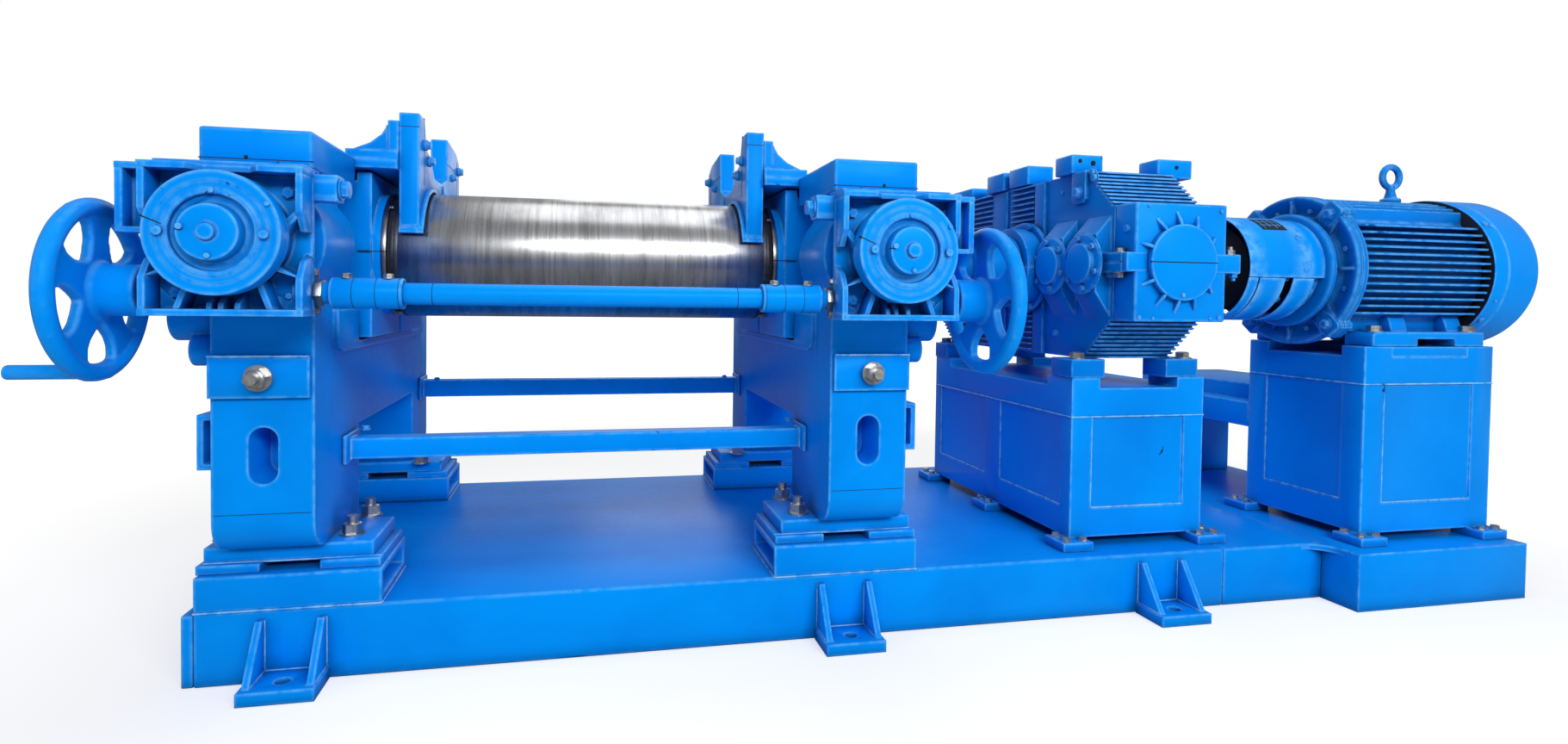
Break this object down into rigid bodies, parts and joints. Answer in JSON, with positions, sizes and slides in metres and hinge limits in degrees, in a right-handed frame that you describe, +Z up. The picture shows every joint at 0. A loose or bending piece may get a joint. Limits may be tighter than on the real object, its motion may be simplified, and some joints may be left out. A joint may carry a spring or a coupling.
{
  "type": "open mixing mill",
  "caption": "Open mill with two horizontal rolls in box stands, a front roll set back by geared screws and handwheels, and a reducer and motor on the same bed.",
  "frame": {"origin": "on the floor under the middle of the bed", "axes": "+X from the rolls to the motor, -Y the operator's side, +Z up"},
  "size_m": [4.713, 1.974, 1.605],
  "materials": {
    "blue_paint": "gloss",
    "deep_blue_paint": "gloss",
    "bright_steel": "ground"
  },
  "bodies": {
    "base": {"bed_frame": "blue_paint", "bed_extension": "blue_paint", "bed_motor_block": "blue_paint", "bed_end_plate": "blue_paint", "anchor_feet": "blue_paint", "stand_risers": "blue_paint", "stand_shims": "deep_blue_paint", "leg_soles": "blue_paint", "side_frame_left": "blue_paint", "side_frame_right": "blue_paint", "stop_blocks": "blue_paint", "frame_caps": "blue_paint", "front_tie_bar": "blue_paint", "rear_tie_bar": "blue_paint", "side_brackets": "blue_paint", "rear_bearings": "blue_paint", "rear_thrust_blocks": "blue_paint", "stock_guides": "blue_paint", "guide_bridges": "blue_paint", "nip_gearboxes": "blue_paint", "gearbox_covers": "blue_paint", "reducer_stand": "blue_paint", "reducer_lower": "blue_paint", "reducer_upper": "blue_paint", "front_box": "blue_paint", "reducer_covers": "blue_paint", "lifting_blocks": "blue_paint", "input_shaft": "bright_steel", "motor_stand": "blue_paint", "motor_shelf": "blue_paint", "motor_frame": "deep_blue_paint", "end_shield": "blue_paint", "fan_cowl": "blue_paint", "coupling_guard": "blue_paint"},
    "front_bearing_body": {"front_bearings": "blue_paint", "adjusting_screws": "bright_steel"},
    "front_roll_body": {"front_roll": "bright_steel", "front_drive_shaft": "deep_blue_paint"},
    "rear_roll_body": {"rear_roll": "bright_steel", "rear_drive_shaft": "deep_blue_paint"},
    "cross_shaft_body": {"handwheel_left": "blue_paint", "handwheel_right": "blue_paint", "crank_handle": "blue_paint", "cross_shaft": "blue_paint", "shaft_couplings": "blue_paint"}
  },
  "joints": [
    {"name": "handwheel_turn", "type": "hinge", "parent": "base", "child": "cross_shaft_body", "pos_m": [-1.132, -0.913, 1.033], "axis": [1, 0, 0], "range_deg": [0, 1800]},
    {"name": "nip_adjust", "type": "slide", "parent": "base", "child": "front_bearing_body", "axis": [0, -1, 0], "range_m": [0, 0.01]},
    {"name": "front_roll_spin", "type": "hinge", "parent": "front_bearing_body", "child": "front_roll_body", "pos_m": [-1.132, -0.203, 1.162], "axis": [1, 0, 0], "continuous": true},
    {"name": "rear_roll_spin", "type": "hinge", "parent": "base", "child": "rear_roll_body", "pos_m": [-1.132, 0.203, 1.162], "axis": [1, 0, 0], "continuous": true}
  ],
  "couplings": [
    {"joint": "nip_adjust", "follows": "handwheel_turn", "m_per_rad": 0.00031831},
    {"joint": "rear_roll_spin", "follows": "front_roll_spin", "ratio": -1.27}
  ]
}
